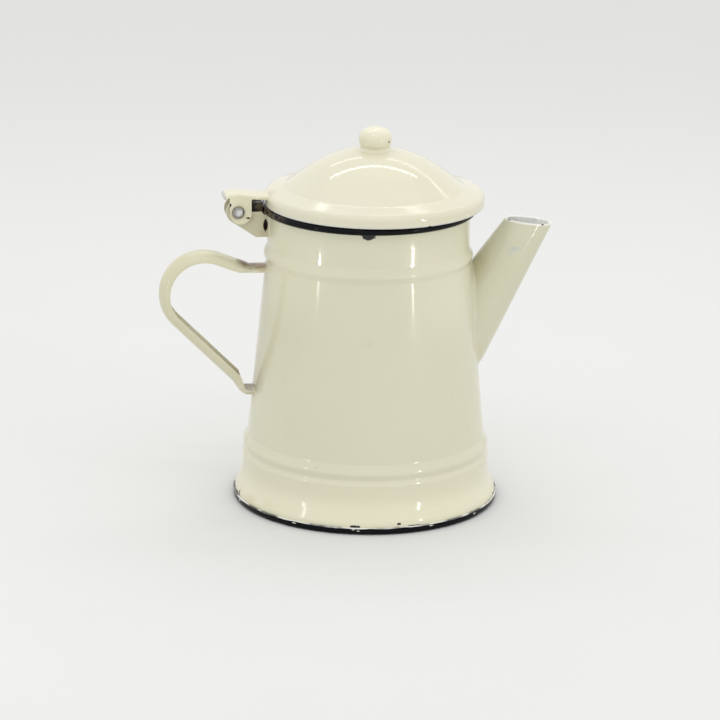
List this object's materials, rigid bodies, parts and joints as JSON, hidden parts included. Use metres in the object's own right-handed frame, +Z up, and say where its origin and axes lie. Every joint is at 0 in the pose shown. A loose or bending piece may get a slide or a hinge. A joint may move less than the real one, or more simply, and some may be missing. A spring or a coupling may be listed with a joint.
{
  "type": "enamel coffee pot",
  "caption": "Small enamelled coffee pot with a straight tapered spout, a hollow strap handle and a domed lid on a riveted hinge at the handle side.",
  "frame": {"origin": "middle of the flat underside", "axes": "+Z up, +X towards the spout, handle and lid hinge at -X, +Y to the pot's left seen from the handle"},
  "size_m": [0.1843, 0.1244, 0.1773],
  "materials": {
    "cream_enamel": "glossy vitreous enamel on sheet steel, chipped in places",
    "black_enamel": "glossy vitreous enamel on sheet steel",
    "rivet_metal": "satin, slightly stained"
  },
  "bodies": {
    "pot": {"body_shell": "cream_enamel", "rim_hoop": "black_enamel", "bottom_disc": "black_enamel", "spout": "cream_enamel", "handle": "cream_enamel", "hinge_bracket": "cream_enamel", "hinge_rivet": "rivet_metal"},
    "lid": {"lid": "cream_enamel", "lid_collar": "cream_enamel", "lid_knob": "cream_enamel", "hinge_leaf": "cream_enamel"}
  },
  "joints": [
    {"name": "lid_hinge", "type": "hinge", "parent": "pot", "child": "lid", "pos_m": [-0.0616, 0, 0.1394], "axis": [0, -1, 0], "range_deg": [0, 140]}
  ]
}
